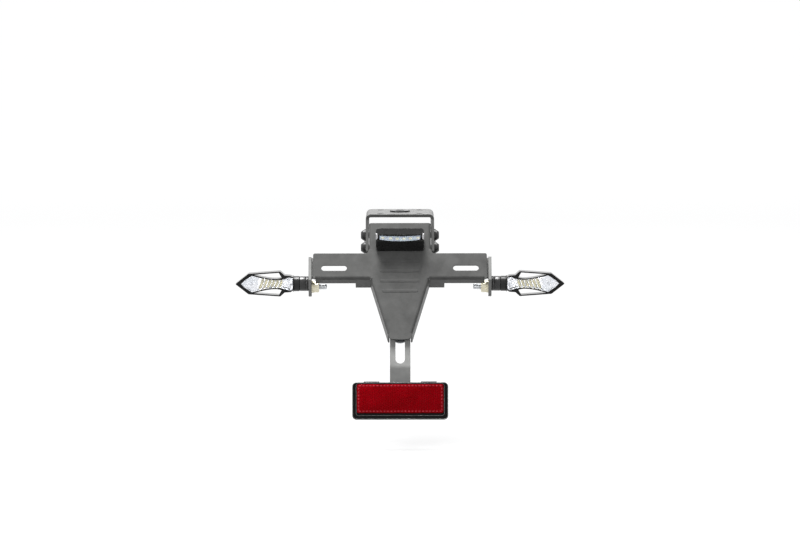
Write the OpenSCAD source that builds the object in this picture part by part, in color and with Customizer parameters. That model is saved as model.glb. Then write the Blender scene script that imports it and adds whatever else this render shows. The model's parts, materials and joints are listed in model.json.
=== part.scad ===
// Tail tidy: a folded licence plate holder under the tail of a motorbike,
// with a licence lamp, two arrow shaped indicators and a red rear reflector.
// +X points right as seen from behind, +Y forward, +Z up.
// The origin is the middle of the tail bolt pattern, on top of the mount.

/* [Tail mount] */
// Sheet thickness of the tail mount
mount_t = 3; // [2.5:0.1:3.5]
// Length of the top plate, front to back
mount_l = 76; // [70:1:90]
// Outer bend radius of the tail mount
mount_bend_r = 5; // [4.5:0.1:6]
// Height of the cheeks at the front end
cheek_front_h = 16; // [12:0.5:20]
// Spacing of the tail bolts across the machine
tail_bolt_x = 40; // [34:1:44]
// Spacing of the tail bolts along the machine
tail_bolt_y = 50; // [44:1:56]
// Clearance hole for a tail bolt
tail_bolt_hole_d = 6.6; // [6.4:0.1:7]
// Hole for the wiring grommet
grommet_hole_d = 16; // [12:0.5:18]
// Bore of the wiring grommet
grommet_bore_d = 10; // [6:0.5:11]

/* [Plate holder] */
// Sheet thickness of the plate holder
holder_t = 1.5; // [1.2:0.1:1.8]
// Outer bend radius of the plate holder
holder_bend_r = 3; // [2.4:0.1:3.4]
// Lean of the plate face from vertical, in degrees
face_tilt = 30; // [26:1:34]
// Width of the crossbar
crossbar_w = 176; // [166:1:196]
// Height of the crossbar
crossbar_h = 28.4; // [27:0.2:34]
// Corner radius of the crossbar
crossbar_corner_r = 2; // [1:0.25:3]
// Width of the neck over the crossbar
neck_w = 62.6; // [58:0.2:68]
// Height of the neck over the crossbar
neck_h = 34; // [32:0.5:40]
// Width of the tongue at the crossbar
tongue_top_w = 59.6; // [56:0.2:62]
// Width of the tongue at its lower end
tongue_end_w = 21.1; // [18:0.1:24]
// Length of the tongue under the crossbar
tongue_h = 66.9; // [60:0.5:76]
// Corner radius at the lower end of the tongue
tongue_corner_r = 4; // [2:0.25:5]
// Depth of the flanges on the neck, the tongue and the middle of the crossbar
deep_flange = 21.5; // [20:0.5:24]
// Depth of the flanges on the outer parts of the crossbar
shallow_flange = 11; // [6:0.5:12]
// Distance of the flange step from the middle
flange_step_x = 45; // [40:1:52]
// Length of a plate slot, end to end
plate_slot_l = 26; // [18:1:30]
// Width of a plate slot
plate_slot_w = 6; // [5:0.25:7]
// Distance of the middle of a plate slot from the end of the crossbar
plate_slot_in = 21.3; // [19:0.1:24]
// Height of the plate slots over the lower edge of the crossbar
plate_slot_s = 12; // [11:0.5:15]
// Height of one stiffening rib in the face
rib_h = 3; // [2:0.25:4]
// Rise of the ribs over the face
rib_rise = 0.3; // [0.2:0.05:0.6]
// Pitch of the ribs down the face
rib_pitch = 11.1; // [10:0.1:12]
// Length of the longest rib
rib_l = 40; // [34:1:44]

/* [Indicator strap] */
// Thickness of the strap behind the crossbar and of its welded tabs
strap_t = 3; // [2.5:0.1:3.5]
// Height of the spacers between the crossbar and the strap
strap_standoff = 2.5; // [1.5:0.25:4]
// Gap between the end of the crossbar and the tab
tab_gap = 1.6; // [1.4:0.1:4]
// Radius of the round lobe of the tab
lobe_r = 8.5; // [7.5:0.25:10]
// Distance of the indicator stud behind the face
stud_depth = 19; // [18:0.5:22]

/* [Reflector bar] */
// Width of the bar
bar_w = 20.6; // [18:0.2:22]
// Thickness of the bar
bar_t = 2.5; // [2:0.1:3]
// Height of the spacers between the tongue and the bar
spacer_h = 3; // [2:0.25:5]
// Width of the long slot
bar_slot_w = 9.3; // [7:0.1:10]
// Lower end of the long slot, under the end of the tongue
bar_slot_past = 24.4; // [20:0.1:28]
// Distance of the bend under the end of the tongue
bar_bend_past = 28.1; // [27.5:0.1:36]
// Length of the bar under the bend
bar_low_l = 49; // [48.5:0.5:52]

/* [Rear reflector] */
// Lean of the reflector from vertical, in degrees
reflector_tilt = 10; // [4:1:14]
// Width of the reflector housing
reflector_w = 96; // [86:1:106]
// Height of the reflector housing
reflector_h = 37.2; // [34:0.2:42]
// Depth of the reflector housing
reflector_d = 7; // [6:0.25:10]
// Corner radius of the reflector housing
reflector_corner_r = 4.2; // [3:0.1:6]
// Width of the rim at the sides of the red lens and under it
reflector_rim = 4.5; // [3:0.1:5]
// Width of the rim over the red lens
reflector_top_rim = 1.5; // [1.2:0.1:4]
// Distance from the bend of the bar to the top of the housing
reflector_drop = 16; // [14:0.5:20]
// Spacing of the reflector studs
reflector_stud_gap = 16; // [14:1:18]

/* [Licence lamp] */
// Width of the lamp
lamp_w = 48.4; // [44:0.2:52]
// Height of the lamp along the face
lamp_h = 16.4; // [15.5:0.1:18]
// Rise of the lamp over the face
lamp_rise = 20; // [18:0.5:22]
// Top of the lamp over the lower edge of the crossbar
lamp_top_s = 46.9; // [46:0.1:56]
// Wall of the lamp housing
lamp_wall = 1.8; // [1.5:0.1:2]
// Thickness of the gasket under the lamp
gasket_t = 1; // [0.8:0.1:1.5]
// Length of the lamp window
lamp_window_l = 44.4; // [38:0.2:45]
// Number of light emitting diodes in the lamp
lamp_led_count = 6; // [4:1:7]

/* [Indicators] */
// Length of the arrow head
arrow_l = 58.6; // [54:0.2:64]
// Height of the arrow head at its widest
arrow_h = 25.4; // [24:0.2:30]
// Depth of the arrow head, front to back
arrow_d = 16; // [15:0.5:20]
// Diameter of the rubber stem
stem_d = 15.5; // [14.5:0.1:17]
// Length of the rubber boot
boot_l = 9.2; // [8:0.1:12]
// Length of the stem collar
collar_l = 5.6; // [5:0.1:8]
// Rise of the stem over its stud
stem_rise = 3.2; // [2:0.1:3.4]
// Rise of the middle of the arrow head over the stem
head_rise = 0.2; // [0:0.1:1.5]
// Length of stud that stands past the nut
stud_free_l = 8; // [4:0.5:12]

/* [Hidden] */

$fn = 48;
// Fine enough for a round corner of an outline, in pieces per corner
arc_steps = 5;
// Cutters pass through what they cut by this much
over = 1;

// Fasteners: thread, hole, nut across flats, nut height, washer width and thickness
m6_d = 6;
m6_hole_d = 6.4;
m6_nut_af = 10;
m6_nut_h = 5;
m6_washer_d = 12.5;
m6_wide_washer_d = 18;
m6_washer_t = 1.6;
m6_head_d = 10.5;
m6_head_h = 3.3;
m5_d = 5;
m5_hole_d = 5.3;
m5_nut_af = 8;
m5_nut_h = 4;
m5_washer_d = 10;
m5_washer_t = 1;
m4_d = 4;
m4_hole_d = 4.4;
m4_head_d = 8;
m4_head_h = 2.6;
socket_af = 4;
thread_past_nut = 1.8;

// Place of the plate face: the top of the neck hangs behind and under the top plate
neck_top_back = 44;
neck_top_drop = 8.3;
face_y = -neck_top_back - (crossbar_h + neck_h) * sin(face_tilt);
face_z = -neck_top_drop - (crossbar_h + neck_h) * cos(face_tilt);
neck_top_s = crossbar_h + neck_h;

// Plate holder
plate_slot_x = crossbar_w - 2 * plate_slot_in;
neck_relief_h = 4.4;
neck_relief_w = 2.2;
tongue_slope = (tongue_top_w - tongue_end_w) / 2 / tongue_h;
tongue_angle = atan(tongue_slope);
bar_side_gap = 0.35;
tongue_flange_end = (tongue_top_w / 2 - bar_w / 2 - bar_side_gap - holder_t / cos(tongue_angle))
    / tongue_slope;
crossbar_flange_end_x = crossbar_w / 2 - 2.5;
rib_first_s = 20;
rib_side_gap = 8;
rib_count = 4;
bend_lap = 1;

// Tail mount
cheek_gap = 0.5;
cheek_in_x = neck_w / 2 + cheek_gap;
cheek_out_x = cheek_in_x + mount_t;
cheek_low_s = crossbar_h + 2.6;
cheek_set_back = 4;
cheek_past_flange = 2.5;
cheek_front_r = 6;
cheek_elbow = 6;
cheek_elbow_past = 9;
cheek_elbow_r = 14;
cheek_low_r = 6;
cheek_face_r = 2.5;
cheek_top_r = 4;
neck_bolt_low = 12;
neck_bolt_gap = 14;
neck_bolt_s = [crossbar_h + neck_bolt_low, crossbar_h + neck_bolt_low + neck_bolt_gap];
neck_bolt_depth = 12;
top_window_y = 0;

// Indicator strap
strap_low_s = 3.1;
strap_high_s = crossbar_h - 3.2;
strap_depth = holder_t + strap_standoff;
strap_spacer_d = 10;
strap_stud_in = 28.7;
strap_stud_x = plate_slot_x / 2 - strap_stud_in;
strap_stud_s = 14;
strap_slot_margin = 3.5;
tab_low_s = -1;
tab_front_depth = 0.5;
tab_shoulder = 11;
lobe_drop = 2.2;
tab_out_x = crossbar_w / 2 + tab_gap + strap_t;
tab_in_x = tab_out_x - strap_t;

// Reflector bar, with depths counted forward from the front of the face
bar_front_depth = holder_t + spacer_h;
bar_top_at = 18;
bar_stud_past = [36.9, 7.9];
bar_stud_at = [for (past = bar_stud_past) tongue_h - past];
bar_slot_end = tongue_h + bar_slot_past;
bar_bend_at = tongue_h + bar_bend_past;
bar_slot_top = 24;
bar_bend_r = 8;
spacer_d = 12;
reflector_mid_t = reflector_drop + reflector_h / 2;

reflector_floor = 3;
reflector_lens_gap = 0.15;
reflector_lens_proud = 0.25;
reflector_pocket_r = 2.2;
reflector_stud_hole = 2.5;
lug_x = 28.6;
lug_l = 16;
lug_rise = 1;

// Licence lamp
lamp_face_h = 6.9;
lamp_chamfer = 5;
lamp_corner_r = 3;
lamp_lens_gap = 0.1;
lamp_lens_proud = 0.4;
lamp_bevel_share = 0.55;
lamp_window_h = 5.6;
lamp_screw_x = 14;
lamp_screw_reach = 7;
lamp_board_depth = 5.5;
lamp_board_t = 1;
lamp_board_w = 6.4;
lamp_led_size = 2.4;
lamp_led_h = 0.8;
lamp_led_pitch = (lamp_window_l - 8) / (lamp_led_count - 1);
lamp_low_s = lamp_top_s - lamp_h;
lamp_chamfer_top = lamp_top_s - lamp_face_h;

// Indicators: distances out from the middle of the machine, heights from the stem's middle
stem_ridge_l = 0.9;
arrow_in_x = tab_out_x + boot_l + collar_l + stem_ridge_l;
arrow_tip_x = arrow_in_x + arrow_l;
arrow_barb_in = 13.4;
arrow_barb_h = arrow_h - 4.6;
arrow_bar_end = 13;
arrow_shoulder_end = 8.6;
arrow_root_h = 13.6;
arrow_front = arrow_d / 2 - 1;
arrow_back = arrow_front - arrow_d;
lens_tip_in = 5.7;
lens_cheek_in = 9.3;
lens_cheek_h = 6.8;
lens_barb_in = 17;
lens_barb_h = 16.8;
lens_pull_in = 32.9;
lens_pull_y = 3.7;
lens_waist_end = 12.2;
lens_waist_y = 2;
lens_shoulder_end = 4.6;
lens_shoulder_h = 13.2;
lens_root_in = 0.6;
lens_root_h = 12.2;
lens_wall = 1.5;
lens_proud = 1;
lens_gap = 0.2;
rim_t = 1.6;
frame_bar_t = 1.3;
pocket_depth = 12;
tray_t = 1.2;
arrow_board_t = 1.2;
arrow_led_count = 6;
arrow_led_size = 2;
arrow_led_pitch = 3.6;
stem_ridge_d = stem_d + 1.1;
stud_sunk_l = 3;

arrow_board_l = arrow_led_pitch * (arrow_led_count - 1) + 6;
arrow_board_in = 11;
arrow_board_x = arrow_in_x + arrow_board_in;
nut_flange_t = 0.9;
nut_in_x = tab_in_x - m6_washer_t - nut_flange_t - m6_nut_h;

// Place of the indicator studs, in the upright frame
stud_y = face_y + stud_depth * cos(face_tilt);
stud_z = face_z - stud_depth * sin(face_tilt);

function arc(mid, r, from, to, steps) =
    [for (i = [0:steps]) mid + r * [cos(from + (to - from) * i / steps),
                                    sin(from + (to - from) * i / steps)]];

// Rounds the corner b between a and c with radius r
function corner(a, b, c, r) =
    let (u = (a - b) / norm(a - b),
         v = (c - b) / norm(c - b),
         half = acos(u * v) / 2,
         w = (u + v) / norm(u + v),
         mid = b + w * r / sin(half),
         start = b + u * r / tan(half) - mid,
         end = b + v * r / tan(half) - mid,
         a0 = atan2(start[1], start[0]),
         turn = atan2(start[0] * end[1] - start[1] * end[0], start * end))
    arc(mid, r, a0, a0 + turn, arc_steps);

// An outline of corners [x, y, radius]
function rounded(points) =
    let (n = len(points))
    [for (i = [0:n - 1])
        let (a = points[(i + n - 1) % n], b = points[i], c = points[(i + 1) % n])
        each (b[2] == 0 ? [[b[0], b[1]]]
            : corner([a[0], a[1]], [b[0], b[1]], [c[0], c[1]], b[2]))];

// A smooth curve from a to d that is drawn towards b and c on its way
function eased(a, b, c, d, steps) = [
    for (i = [0:steps])
        let (t = i / steps, u = 1 - t)
        u * u * u * a + 3 * u * u * t * b + 3 * u * t * t * c + t * t * t * d
];

function box_path(w, h, r) = rounded([
    [-w / 2, -h / 2, r],
    [w / 2, -h / 2, r],
    [w / 2, h / 2, r],
    [-w / 2, h / 2, r]
]);

// Half width of the tongue at a distance under the crossbar
function tongue_x(at) = tongue_top_w / 2 - tongue_slope * at;

// Side view place, forward and up, of a point s up the face and some depth behind its front
function side_point(s, depth) = [
    face_y + s * sin(face_tilt) + depth * cos(face_tilt),
    face_z + s * cos(face_tilt) - depth * sin(face_tilt)
];

// Section of a folded edge: the first axis runs into the sheet, the second behind it
function bend_section(t, r, leg) = concat(
    [[r + bend_lap, 0]],
    [for (p = arc([r, r], r, 270, 180, arc_steps)) p],
    [[0, leg], [t, leg]],
    [for (p = arc([r, r], r - t, 180, 270, arc_steps)) p],
    [[r + bend_lap, t]]
);

// Places its children in the frame of the plate face: X right, Y up the face, Z out of it
module on_face() {
    translate([0, face_y, face_z])
        rotate([90 - face_tilt, 0, 0])
            children();
}

// Frame of the lower end of the bar: the origin is its bend, Y up along it, Z out of its front
module on_low_bar() {
    on_face()
        translate([0, -bar_bend_at, -bar_front_depth])
            rotate([face_tilt - reflector_tilt, 0, 0])
                children();
}

// Frame of one indicator stud: X outward, Y forward, Z up; side is 1 right, -1 left
module on_side(side) {
    translate([0, stud_y, stud_z])
        mirror([side < 0 ? 1 : 0, 0, 0])
            children();
}

module both_sides() {
    children();
    mirror([1, 0, 0])
        children();
}

// A folded edge along X, with the sheet on its +Y side and its front at Z = 0
module folded_edge(l, t, r, leg) {
    rotate([90, 0, 90])
        linear_extrude(l)
            polygon([for (p = bend_section(t, r, leg)) [p[0], -p[1]]]);
}

module edge_trim(l, r, t) {
    translate([0, -over, -t - over])
        cube([l, r + over, t + 2 * over]);
}

// Runs outward along X from a distance from the middle
module along_x(from, to) {
    translate([from, 0, 0])
        rotate([0, 90, 0])
            linear_extrude(to - from)
                children();
}

// A slab between two distances towards the rear, from an outline in X and Z
module upright_slab(from, to) {
    translate([0, -from, 0])
        rotate([90, 0, 0])
            linear_extrude(to - from)
                children();
}

module slot(l, w, h) {
    linear_extrude(h) {
        square([l - w, w], center = true);
        for (x = [-1, 1])
            translate([x * (l - w) / 2, 0])
                circle(d = w);
    }
}

module washer(outer_d, hole_d, t) {
    linear_extrude(t)
        difference() {
            circle(d = outer_d);
            circle(d = hole_d);
        }
}

module hex_nut(af, hole_d, h) {
    difference() {
        intersection() {
            cylinder(d = af / cos(30), h = h, $fn = 6);
            rotate_extrude()
                polygon([
                    [0, 0], [af / 2 - 0.2, 0], [af / 2 + 0.9, 0.6],
                    [af / 2 + 0.9, h - 0.6], [af / 2 - 0.2, h], [0, h]
                ]);
        }
        translate([0, 0, -over])
            cylinder(d = hole_d, h = h + 2 * over);
    }
}

// A stud along Z with a small lead chamfer at its free end
module stud(d, l) {
    rotate_extrude()
        polygon([[0, 0], [d / 2, 0], [d / 2, l - 0.6], [d / 2 - 0.6, l], [0, l]]);
}

// Outline of the tongue, crossbar and neck, in the plane of the face
function holder_path() =
    let (half = [
        [tongue_end_w / 2, -tongue_h, tongue_corner_r],
        [tongue_top_w / 2, 0, 0],
        [crossbar_w / 2, 0, crossbar_corner_r],
        [crossbar_w / 2, crossbar_h, crossbar_corner_r],
        [neck_w / 2 + neck_relief_w, crossbar_h, 0],
        [neck_w / 2 + neck_relief_w - 1.4, crossbar_h + neck_relief_h / 2, 0],
        [neck_w / 2, crossbar_h + neck_relief_h, 0],
        [neck_w / 2, neck_top_s, 0]
    ])
    rounded(concat(half, [for (i = [len(half) - 1:-1:0]) [-half[i][0], half[i][1], half[i][2]]]));

module tongue_edge() {
    translate([tongue_x(tongue_flange_end), -tongue_flange_end, 0])
        rotate([0, 0, 90 - tongue_angle])
            children();
}

module neck_edge() {
    translate([neck_w / 2, crossbar_h + neck_relief_h, 0])
        rotate([0, 0, 90])
            children();
}

module plate_holder() {
    tongue_edge_l = tongue_flange_end / cos(tongue_angle);
    neck_edge_l = neck_h - neck_relief_h;
    color("dimgray")
        on_face() {
            difference() {
                translate([0, 0, -holder_t])
                    linear_extrude(holder_t)
                        polygon(holder_path());
                both_sides() {
                    translate([tongue_top_w / 2, 0, 0])
                        edge_trim(crossbar_flange_end_x - tongue_top_w / 2, holder_bend_r, holder_t);
                    tongue_edge()
                        edge_trim(tongue_edge_l, holder_bend_r, holder_t);
                    neck_edge()
                        edge_trim(neck_edge_l + over, holder_bend_r, holder_t);
                    translate([plate_slot_x / 2, plate_slot_s, -holder_t - over])
                        slot(plate_slot_l, plate_slot_w, holder_t + 2 * over);
                    translate([lamp_screw_x, lamp_top_s - lamp_h / 2, -holder_t - over])
                        cylinder(d = m4_hole_d, h = holder_t + 2 * over);
                }
            }
            ribs();
            both_sides() {
                translate([tongue_top_w / 2, 0, 0])
                    folded_edge(flange_step_x - tongue_top_w / 2, holder_t, holder_bend_r, deep_flange);
                translate([tongue_top_w / 2, 0, 0])
                    folded_edge(crossbar_flange_end_x - tongue_top_w / 2, holder_t, holder_bend_r,
                        shallow_flange);
                tongue_edge()
                    folded_edge(tongue_edge_l, holder_t, holder_bend_r, deep_flange);
                neck_flange(neck_edge_l);
            }
        }
}

module neck_flange(l) {
    difference() {
        neck_edge()
            folded_edge(l, holder_t, holder_bend_r, deep_flange);
        for (s = neck_bolt_s)
            translate([0, s, -neck_bolt_depth])
                rotate([0, 90, 0])
                    cylinder(d = m6_hole_d, h = neck_w);
    }
}

module ribs() {
    for (i = [0:rib_count - 1])
        let (l = min(rib_l, 2 * (tongue_x(max(0, i * rib_pitch - rib_first_s)) - rib_side_gap)))
            translate([0, rib_first_s - i * rib_pitch, 0])
                slot(l, rib_h, rib_rise);
}

// Side view of one cheek, forward and up
function cheek_path() = rounded([
    [mount_l / 2, -mount_bend_r, 0],
    [mount_l / 2, -cheek_front_h, cheek_front_r],
    concat(side_point(neck_top_s, deep_flange + cheek_elbow_past) + [cheek_elbow, 0], [cheek_elbow_r]),
    concat(side_point(cheek_low_s, deep_flange + cheek_past_flange), [cheek_low_r]),
    concat(side_point(cheek_low_s, cheek_set_back), [cheek_face_r]),
    concat(side_point(neck_top_s - cheek_top_r, cheek_set_back), [cheek_top_r]),
    [-mount_l / 2, -mount_bend_r, 0]
]);

module tail_mount() {
    color("dimgray")
        difference() {
            union() {
                translate([-cheek_out_x + mount_bend_r, -mount_l / 2, -mount_t])
                    cube([2 * (cheek_out_x - mount_bend_r), mount_l, mount_t]);
                both_sides() {
                    translate([cheek_out_x, -mount_l / 2, 0])
                        rotate([0, 0, 90])
                            folded_edge(mount_l, mount_t, mount_bend_r, mount_bend_r + bend_lap);
                    along_cheek();
                }
            }
            for (x = [-1, 1], y = [-1, 1])
                translate([x * tail_bolt_x / 2, y * tail_bolt_y / 2, -mount_t - over])
                    cylinder(d = tail_bolt_hole_d, h = mount_t + 2 * over);
            translate([0, top_window_y, -mount_t - over])
                cylinder(d = grommet_hole_d, h = mount_t + 2 * over);
            on_face()
                for (s = neck_bolt_s)
                    translate([-cheek_out_x - over, s, -neck_bolt_depth])
                        rotate([0, 90, 0])
                            cylinder(d = m6_hole_d, h = 2 * (cheek_out_x + over));
        }
}

module along_cheek() {
    translate([cheek_in_x, 0, 0])
        rotate([90, 0, 90])
            linear_extrude(mount_t)
                polygon(cheek_path());
}

module loom_grommet() {
    lip = 2.4;
    lip_t = 1.6;
    r_in = grommet_bore_d / 2;
    r_hole = grommet_hole_d / 2 - 0.1;
    color("black")
        translate([0, top_window_y, -mount_t])
            rotate_extrude()
                polygon([
                    [r_in, -lip_t], [r_hole + lip, -lip_t], [r_hole + lip, 0], [r_hole, 0],
                    [r_hole, mount_t], [r_hole + lip, mount_t], [r_hole + lip, mount_t + lip_t],
                    [r_in, mount_t + lip_t]
                ]);
}

// The bolts of the neck run along X; the head is outside the cheek
module at_neck_bolts() {
    on_face()
        both_sides()
            for (s = neck_bolt_s)
                translate([0, s, -neck_bolt_depth])
                    children();
}

module neck_bolts() {
    head_x = cheek_out_x + m6_washer_t;
    end_x = neck_w / 2 - holder_t - m6_washer_t - m6_nut_h - thread_past_nut;
    color("silver")
        at_neck_bolts()
            difference() {
                union() {
                    translate([head_x, 0, 0])
                        rotate([0, -90, 0])
                            stud(m6_d, head_x - end_x);
                    translate([head_x, 0, 0])
                        rotate([0, 90, 0])
                            rotate_extrude()
                                polygon([
                                    [0, 0], [m6_head_d / 2, 0], [m6_head_d / 2, 1],
                                    [m6_head_d / 2 - 1.8, m6_head_h], [0, m6_head_h]
                                ]);
                }
                translate([head_x + m6_head_h - 2, 0, 0])
                    rotate([0, 90, 0])
                        cylinder(d = socket_af / cos(30), h = 2 + over, $fn = 6);
            }
}

module neck_washers() {
    color("silver")
        at_neck_bolts() {
            translate([cheek_out_x, 0, 0])
                rotate([0, 90, 0])
                    washer(m6_washer_d, m6_hole_d, m6_washer_t);
            translate([neck_w / 2 - holder_t - m6_washer_t, 0, 0])
                rotate([0, 90, 0])
                    washer(m6_washer_d, m6_hole_d, m6_washer_t);
        }
}

module neck_nuts() {
    color("silver")
        at_neck_bolts()
            translate([neck_w / 2 - holder_t - m6_washer_t, 0, 0])
                rotate([0, -90, 0])
                    hex_nut(m6_nut_af, m6_d, m6_nut_h);
}

// Side view of one tab, with the distance behind the face first and the height second
function tab_path() = rounded([
    [tab_front_depth, tab_low_s, 0.8],
    [stud_depth - lobe_drop, -lobe_r - lobe_drop, 6],
    [stud_depth + lobe_r, -lobe_r, lobe_r - 0.5],
    [stud_depth + lobe_r, lobe_r + 1, lobe_r - 1],
    [tab_shoulder, strap_high_s, 7],
    [tab_front_depth, strap_high_s, 0.8]
]);

module indicator_strap() {
    color("dimgray")
        on_face()
            difference() {
                union() {
                    translate([-tab_in_x, strap_low_s, -strap_depth - strap_t])
                        cube([2 * tab_in_x, strap_high_s - strap_low_s, strap_t]);
                    both_sides()
                        translate([tab_in_x, 0, 0])
                            rotate([90, 0, 90])
                                linear_extrude(strap_t)
                                    polygon([for (p = tab_path()) [p[1], -p[0]]]);
                }
                both_sides() {
                    translate([plate_slot_x / 2, plate_slot_s, -strap_depth - strap_t - over])
                        slot(plate_slot_l + 2 * strap_slot_margin, plate_slot_w + 2 * strap_slot_margin,
                            strap_t + 2 * over);
                    translate([strap_stud_x, strap_stud_s, -strap_depth - strap_t - over])
                        cylinder(d = m5_hole_d, h = strap_t + 2 * over);
                    translate([tab_in_x - over, 0, -stud_depth])
                        rotate([0, 90, 0])
                            cylinder(d = m6_hole_d, h = strap_t + 2 * over);
                }
            }
}

// Studs stand forward from the back of the holder
module behind_holder(depth) {
    translate([0, 0, -depth])
        mirror([0, 0, 1])
            children();
}

module at_strap_studs() {
    on_face()
        for (x = [-1, 1])
            translate([x * strap_stud_x, strap_stud_s, 0])
                children();
}

module strap_studs() {
    color("silver")
        at_strap_studs()
            behind_holder(holder_t)
                stud(m5_d, strap_standoff + strap_t + m5_washer_t + m5_nut_h + thread_past_nut);
}

module strap_spacers() {
    color("silver")
        at_strap_studs()
            behind_holder(holder_t)
                washer(strap_spacer_d, m5_hole_d, strap_standoff);
}

module strap_washers() {
    color("silver")
        at_strap_studs()
            behind_holder(strap_depth + strap_t)
                washer(m5_washer_d, m5_hole_d, m5_washer_t);
}

module strap_nuts() {
    color("silver")
        at_strap_studs()
            behind_holder(strap_depth + strap_t + m5_washer_t)
                hex_nut(m5_nut_af, m5_d, m5_nut_h);
}

module at_bar_studs() {
    on_face()
        for (at = bar_stud_at)
            translate([0, -at, 0])
                children();
}

module bar_studs() {
    color("silver")
        at_bar_studs()
            behind_holder(holder_t)
                stud(m6_d, spacer_h + bar_t + m6_washer_t + m6_nut_h + thread_past_nut);
}

module bar_spacers() {
    color("silver")
        at_bar_studs()
            behind_holder(holder_t)
                washer(spacer_d, m6_hole_d, spacer_h);
}

module bar_washers() {
    color("silver")
        at_bar_studs()
            behind_holder(bar_front_depth + bar_t)
                washer(m6_wide_washer_d, m6_hole_d, m6_washer_t);
}

module bar_nuts() {
    color("silver")
        at_bar_studs()
            behind_holder(bar_front_depth + bar_t + m6_washer_t)
                hex_nut(m6_nut_af, m6_d, m6_nut_h);
}

// Side view of the bar: up the face first, out of it second
function bar_path() =
    let (fold = face_tilt - reflector_tilt,
         bend = [-bar_bend_at, -bar_front_depth],
         back_bend = bend + bar_t / cos(fold / 2) * [sin(fold / 2), -cos(fold / 2)],
         low = bend - bar_low_l * [cos(fold), sin(fold)],
         low_back = low + bar_t * [sin(fold), -cos(fold)])
    rounded([
        [-bar_top_at, -bar_front_depth, 0],
        concat(bend, [bar_bend_r + bar_t]),
        concat(low, [0]),
        concat(low_back, [0]),
        concat(back_bend, [bar_bend_r]),
        [-bar_top_at, -bar_front_depth - bar_t, 0]
    ]);

module reflector_bar() {
    slot_l = bar_slot_end - bar_slot_top;
    color("dimgray")
        difference() {
            on_face()
                translate([-bar_w / 2, 0, 0])
                    rotate([90, 0, 90])
                        linear_extrude(bar_w)
                            polygon(bar_path());
            on_face()
                translate([0, -bar_slot_top - slot_l / 2, -bar_front_depth - bar_t - over])
                    rotate([0, 0, 90])
                        slot(slot_l, bar_slot_w, bar_t + 2 * over);
            at_reflector_studs()
                translate([0, 0, -bar_t - over])
                    cylinder(d = m5_hole_d, h = bar_t + 2 * over);
        }
}

module at_reflector_studs() {
    on_low_bar()
        for (side = [-1, 1])
            translate([0, -reflector_mid_t + side * reflector_stud_gap / 2, 0])
                children();
}

module reflector_studs() {
    color("silver")
        at_reflector_studs()
            translate([0, 0, reflector_stud_hole])
                mirror([0, 0, 1])
                    stud(m5_d, reflector_stud_hole + bar_t + m5_washer_t + m5_nut_h + thread_past_nut);
}

module reflector_washers() {
    color("silver")
        at_reflector_studs()
            behind_holder(bar_t)
                washer(m5_washer_d, m5_hole_d, m5_washer_t);
}

module reflector_nuts() {
    color("silver")
        at_reflector_studs()
            behind_holder(bar_t + m5_washer_t)
                hex_nut(m5_nut_af, m5_d, m5_nut_h);
}

// The housing stands on the front of the bar, its middle at the origin
module on_reflector() {
    on_low_bar()
        translate([0, -reflector_mid_t, 0])
            children();
}

// The pocket of the red lens, made smaller all round by inset
module reflector_pocket(inset, r) {
    w = reflector_w - 2 * reflector_rim;
    h = reflector_h - reflector_rim - reflector_top_rim;
    translate([0, (reflector_rim - reflector_top_rim) / 2, 0])
        polygon(box_path(w - 2 * inset, h - 2 * inset, r));
}

module reflector_housing() {
    color("black")
        on_reflector()
            difference() {
                union() {
                    linear_extrude(reflector_d - 1)
                        polygon(box_path(reflector_w, reflector_h, reflector_corner_r));
                    linear_extrude(reflector_d)
                        polygon(box_path(reflector_w - 1.2, reflector_h - 1.2, reflector_corner_r - 0.6));
                    for (side = [-1, 1])
                        translate([side * lug_x - lug_l / 2, 0, 0])
                            cube([lug_l, reflector_h / 2 + lug_rise, reflector_d - 2.5]);
                }
                translate([0, 0, reflector_floor])
                    linear_extrude(reflector_d)
                        reflector_pocket(0, reflector_pocket_r);
                for (side = [-1, 1])
                    translate([0, side * reflector_stud_gap / 2, -over])
                        cylinder(d = m5_d, h = reflector_stud_hole + over);
            }
}

module reflector_lens() {
    soft = 0.6;
    depth = reflector_d - reflector_floor + reflector_lens_proud;
    color("crimson")
        on_reflector()
            translate([0, 0, reflector_floor]) {
                linear_extrude(depth - soft)
                    reflector_pocket(reflector_lens_gap, reflector_pocket_r - reflector_lens_gap);
                linear_extrude(depth)
                    reflector_pocket(reflector_lens_gap + soft,
                        reflector_pocket_r - reflector_lens_gap - soft);
            }
}

// Section of the lamp: out of the face first, up the face second
function lamp_section(inset) = [
    [gasket_t + inset, lamp_low_s + (inset == 0 ? 0 : inset + 1.4)],
    [gasket_t + inset, lamp_top_s - inset],
    [lamp_rise - inset, lamp_top_s - inset],
    [lamp_rise - inset, lamp_chamfer_top + lamp_bevel_share * inset],
    [lamp_rise - lamp_chamfer - lamp_bevel_share * inset, lamp_chamfer_top - lamp_chamfer + inset],
];

// Frame of the lamp window: X along it, Z out through it
module on_lamp_window() {
    on_face()
        translate([0, lamp_chamfer_top - lamp_chamfer / 2, lamp_rise - lamp_chamfer / 2])
            rotate([45, 0, 0])
                children();
}

module lamp_prism(w, inset) {
    on_face()
        translate([-w / 2, 0, 0])
            rotate([90, 0, 90])
                linear_extrude(w)
                    polygon([for (p = lamp_section(inset)) [p[1], p[0]]]);
}

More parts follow.
